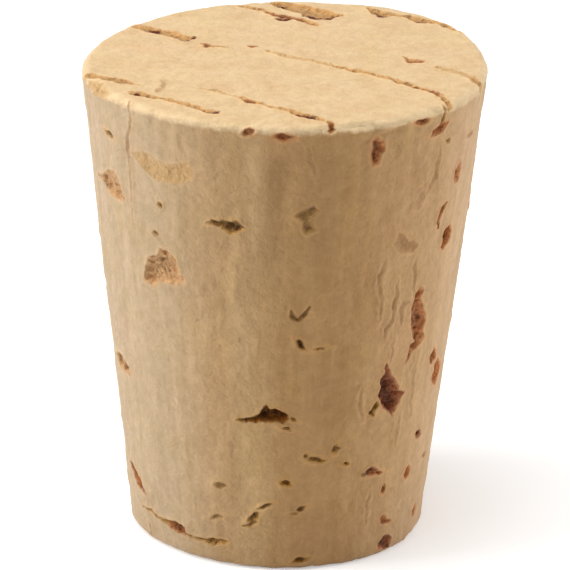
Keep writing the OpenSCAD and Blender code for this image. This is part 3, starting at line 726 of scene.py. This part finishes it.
full_mesh = closed_mesh("stopper_body", points + outward * (relief - depth)[..., None])
keep(full_mesh, "inside", np.clip(inside, -1, 0.6))
keep(full_mesh, "cover", cover)
keep(full_mesh, "above_rim", np.clip(past_rim, -1, 1))
keep(full_mesh, "stain", stain)
keep(full_mesh, "skin", skin)
stopper = bpy.data.objects.new("stopper_body", thin(full_mesh, FINAL_TRIANGLES))
bpy.context.scene.collection.objects.link(stopper)
stopper.data.polygons.foreach_set("use_smooth", np.ones(len(stopper.data.polygons), bool))


def put(kind, **values):
    """A node in the tree at hand, with its settings and inputs: a socket is linked and anything else is set.
    An input goes by its name, or by i and its number."""
    node = tree.nodes.new("ShaderNode" + kind)
    for key, value in values.items():
        if hasattr(node, key) and key not in node.inputs:
            setattr(node, key, value)
            continue
        numbered = key[0] == "i" and key[1:].isdigit()
        socket = node.inputs[int(key[1:]) if numbered else key.replace("_", " ")]
        if isinstance(value, bpy.types.NodeSocket):
            tree.links.new(value, socket)
        else:
            socket.default_value = value
    return node


def kept(label, output):
    """What keep wrote at the mesh's points."""
    return put("Attribute", attribute_name=label).outputs[output]


def calc(operation, a, b):
    """Two numbers, each a socket or a value, taken through one operation."""
    return put("Math", operation=operation, i0=a, i1=b).outputs[0]


def span(value, low, high, start=0.0, end=1.0):
    """value from low to high as a smooth step from start to end."""
    ends = {"From_Min": low, "From_Max": high, "To_Min": start, "To_Max": end}
    return put("MapRange", interpolation_type="SMOOTHSTEP", Value=value, **ends).outputs[0]


def grain(scale, detail, stretch=(1, 1, 1)):
    """Cloudy noise with about that many marks in a mm, stretched along an axis where its number is small."""
    at = put("VectorMath", operation="MULTIPLY", i0=on_object, i1=[1000 * s for s in stretch]).outputs[0]
    return put("TexNoise", Vector=at, Scale=scale, Detail=detail, Roughness=0.6).outputs[0]


def blend(share, a, b, mode="MIX"):
    """Two colours mixed by share, each a socket or linear red, green and blue."""
    a, b = (x if isinstance(x, bpy.types.NodeSocket) else (*x, 1) for x in (a, b))
    return put("Mix", data_type="RGBA", blend_type=mode, i0=share, i6=a, i7=b).outputs[2]


def tinted(share, colour, by):
    """A colour multiplied by another, as far as share says."""
    return blend(share, colour, by, "MULTIPLY")


cork = bpy.data.materials.new("cork")
cork.use_nodes = True
tree = cork.node_tree
on_object = put("TexCoord").outputs["Object"]

# The side's skin is cloudy and streaked, the wide end is paler, and the rim is palest: partly its pale
# crumbled edge, partly a painted highlight along its rounding
clouds = grain(0.5, 6)
side = tinted(span(clouds, 0.3, 0.7, 0, 0.5), kept("skin", "Color"), (0.86, 0.85, 0.8))
side = tinted(span(grain(1.3, 4, (1, 1, 0.1)), 0.35, 0.7, 0, 0.8), side, (0.89, 0.86, 0.81))
side = tinted(span(grain(0.9, 3, (1, 1, 0.06)), 0.45, 0.7, 0, 0.7), side, (1.1, 1.09, 1.06))
wide_end = blend(span(clouds, 0.3, 0.75), linear(TOP_PALE), linear(TOP_DEEP))
rim_wander = calc("MULTIPLY", calc("SUBTRACT", grain(1.8, 5), 0.5), 0.5)
from_rim = calc("ADD", kept("above_rim", "Fac"), rim_wander)
colour = blend(span(from_rim, -0.2, 0.1), side, wide_end)
# Pale crumbled edge and painted highlight along the rim's rounding
pale_rim_and_highlight = calc("MULTIPLY", span(from_rim, -0.25, 0.06), span(from_rim, 0.2, 0.95, 0.5, 0))
colour = blend(pale_rim_and_highlight, colour, linear(RIM_PALE_AND_HIGHLIGHT))

# All of it varies a little in tint, with a mottle and a fine grain
tint = grain(0.3, 3)
mottle = grain(1.7, 3)
fine = grain(4.5, 5)
colour = tinted(span(tint, 0.52, 0.68, 0, 0.8), colour, (1.0, 0.97, 0.985))
colour = tinted(span(tint, 0.32, 0.48, 0.8, 0), colour, (0.995, 0.995, 0.93))
colour = tinted(span(mottle, 0.35, 0.65, 0, 0.8), colour, (0.9, 0.885, 0.855))
colour = tinted(span(fine, 0.4, 0.75, 0, 0.25), colour, (0.8, 0.76, 0.7))

# A hollow has a pale lip, which is a painted highlight, a faint stain round it, and a floor of dark crumbs
# and of pale crumbs with painted glints, or of ribs where its stain is thin
covers = kept("cover", "Fac")
floor_stain = kept("stain", "Color")
edge_wander = calc("MULTIPLY", calc("SUBTRACT", grain(2.6, 6), 0.5), 0.35)
edge = calc("ADD", kept("inside", "Fac"), edge_wander)
# Painted highlight: the lip round each mouth is made paler
lip_highlight = calc("MULTIPLY", span(edge, -0.24, -0.12), span(edge, -0.08, 0.02, 1, 0))
colour = tinted(calc("MULTIPLY", lip_highlight, covers), colour, (1.1, 1.08, 1.06))
grit = grain(1.9, 3)
full_stain = span(covers, 0.72, 0.9)
dark_crumbs = calc("MULTIPLY", span(grit, 0.36, 0.54, 0.95, 0), span(grain(0.6, 2), 0.4, 0.56, 0.3, 1))
# Pale crumbs on the floors, partly painted glints on them
pale_crumbs_and_glints = span(grain(3, 3), 0.55, 0.7, 0, 0.8)
ribs = span(grain(2, 3, (1, 1, 0.2)), 0.4, 0.65)
pit_floor = tinted(calc("MULTIPLY", full_stain, dark_crumbs), floor_stain, (0.42, 0.35, 0.28))
pit_floor = tinted(calc("MULTIPLY", full_stain, pale_crumbs_and_glints), pit_floor, (1.4, 1.38, 1.3))
pit_floor = tinted(calc("MULTIPLY", calc("SUBTRACT", 1.0, full_stain), ribs), pit_floor, (0.87, 0.83, 0.76))
covered = calc("MULTIPLY", covers, span(edge, -0.06, 0.1))
stained = calc("MULTIPLY", covers, span(edge, -0.3, 0.05, 0, 0.18))
colour = blend(covered, blend(stained, colour, floor_stain), pit_floor)

bump = calc("ADD", calc("MULTIPLY", fine, 0.05), calc("MULTIPLY", mottle, 0.14))
crumbs = calc("MULTIPLY", calc("SUBTRACT", grit, 0.5), covered)
bump = calc("ADD", bump, calc("MULTIPLY", crumbs, 0.5))
surface = tree.nodes["Principled BSDF"]
tree.links.new(colour, surface.inputs["Base Color"])
tree.links.new(put("Bump", Strength=1.0, Distance=0.001, Height=bump).outputs[0], surface.inputs["Normal"])
surface.inputs["Roughness"].default_value = 0.88
surface.inputs["Specular IOR Level"].default_value = 0.2
surface.inputs["Sheen Weight"].default_value = 0.15
surface.inputs["Sheen Roughness"].default_value = 0.5
stopper.data.materials.clear()
stopper.data.materials.append(cork)
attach(stopper, "root")
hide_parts("cork_stopper")

# Floor
# A plain white studio table that takes the stopper's soft shadow.
# Its glow shows to the camera and in shines, and lights nothing else.
FLOOR_HALF = 2
FLOOR_GLOW = 0.38
floor = bpy.data.objects.new("floor", bpy.data.meshes.new("floor"))
floor_corners = [(FLOOR_HALF * x, FLOOR_HALF * y, 0) for x, y in ((-1, -1), (1, -1), (1, 1), (-1, 1))]
floor.data.from_pydata(floor_corners, [], [(0, 1, 2, 3)])
bpy.context.scene.collection.objects.link(floor)


def shown():
    """1 for what the camera sees, also in a shine or through glass, and 0 for light on the object."""
    rays = put("LightPath").outputs
    through = calc("ADD", rays["Is Glossy Ray"], rays["Is Transmission Ray"])
    return calc("MINIMUM", calc("ADD", rays["Is Camera Ray"], through), 1.0)


paper = bpy.data.materials.new("paper")
paper.use_nodes = True
tree = paper.node_tree
sheet = tree.nodes["Principled BSDF"]
sheet.inputs["Base Color"].default_value = (0.9, 0.9, 0.9, 1)
sheet.inputs["Roughness"].default_value = 1
sheet.inputs["Emission Color"].default_value = (1, 1, 1, 1)
tree.links.new(calc("MULTIPLY", shown(), FLOOR_GLOW), sheet.inputs["Emission Strength"])
floor.data.materials.append(paper)

# Light
# Soft boxes at the left, above and at the right, in a white room.
# The room shows white to the camera and in shines, and lights the stopper only faintly.
ROOM_LIGHT = 0.2
BOXES_AIM = Vector((0, 0, 0.015))
BOXES = [
    # Name, place and width in m, and power in W
    ("left_box", (-0.36, -0.06, 0.2), 0.22, 1.0),
    ("top_box", (-0.06, -0.02, 0.42), 0.25, 1.0),
    ("right_box", (0.37, 0.03, 0.12), 0.2, 0.6),
]
room = bpy.data.worlds.new("room")
bpy.context.scene.world = room
room.use_nodes = True
tree = room.node_tree
walls = tree.nodes["Background"]
walls.inputs["Color"].default_value = (1, 1, 1, 1)
tree.links.new(calc("ADD", calc("MULTIPLY", shown(), 1 - ROOM_LIGHT), ROOM_LIGHT), walls.inputs["Strength"])
for label, at, size, power in BOXES:
    lamp = bpy.data.objects.new(label, bpy.data.lights.new(label, "AREA"))
    lamp.data.size = size
    lamp.data.energy = power
    lamp.location = at
    lamp.rotation_mode = "QUATERNION"
    lamp.rotation_quaternion = (BOXES_AIM - lamp.location).to_track_quat("-Z", "Y")
    bpy.context.scene.collection.objects.link(lamp)

# Camera
# A long lens from 260 mm, a little above the stopper and turned slightly on its side.
# Its focal length and shift are in pixels of a picture 570 wide.
PICTURE = 570
FOCAL = 4166.1
SHIFT = (3.76, 4.91)
RISE = math.radians(21.792)
ROLL = math.radians(1.01)
DISTANCE = 0.26
CAMERA_AIM = Vector((0, 0, 0.0151))
camera = bpy.data.objects.new("camera", bpy.data.cameras.new("camera"))
camera.data.sensor_width = 36
camera.data.lens = FOCAL / PICTURE * camera.data.sensor_width
camera.data.shift_x = SHIFT[0] / PICTURE
camera.data.shift_y = SHIFT[1] / PICTURE
camera.data.clip_start = 0.01
camera.data.clip_end = 10
away = Vector((0, -math.cos(RISE), math.sin(RISE)))
aim = (-away).to_track_quat("-Z", "Y").to_matrix().to_4x4() @ Matrix.Rotation(ROLL, 4, "Z")
camera.matrix_world = Matrix.Translation(CAMERA_AIM + away * DISTANCE) @ aim
bpy.context.scene.collection.objects.link(camera)
bpy.context.scene.camera = camera
bpy.context.scene.view_settings.view_transform = "Standard"
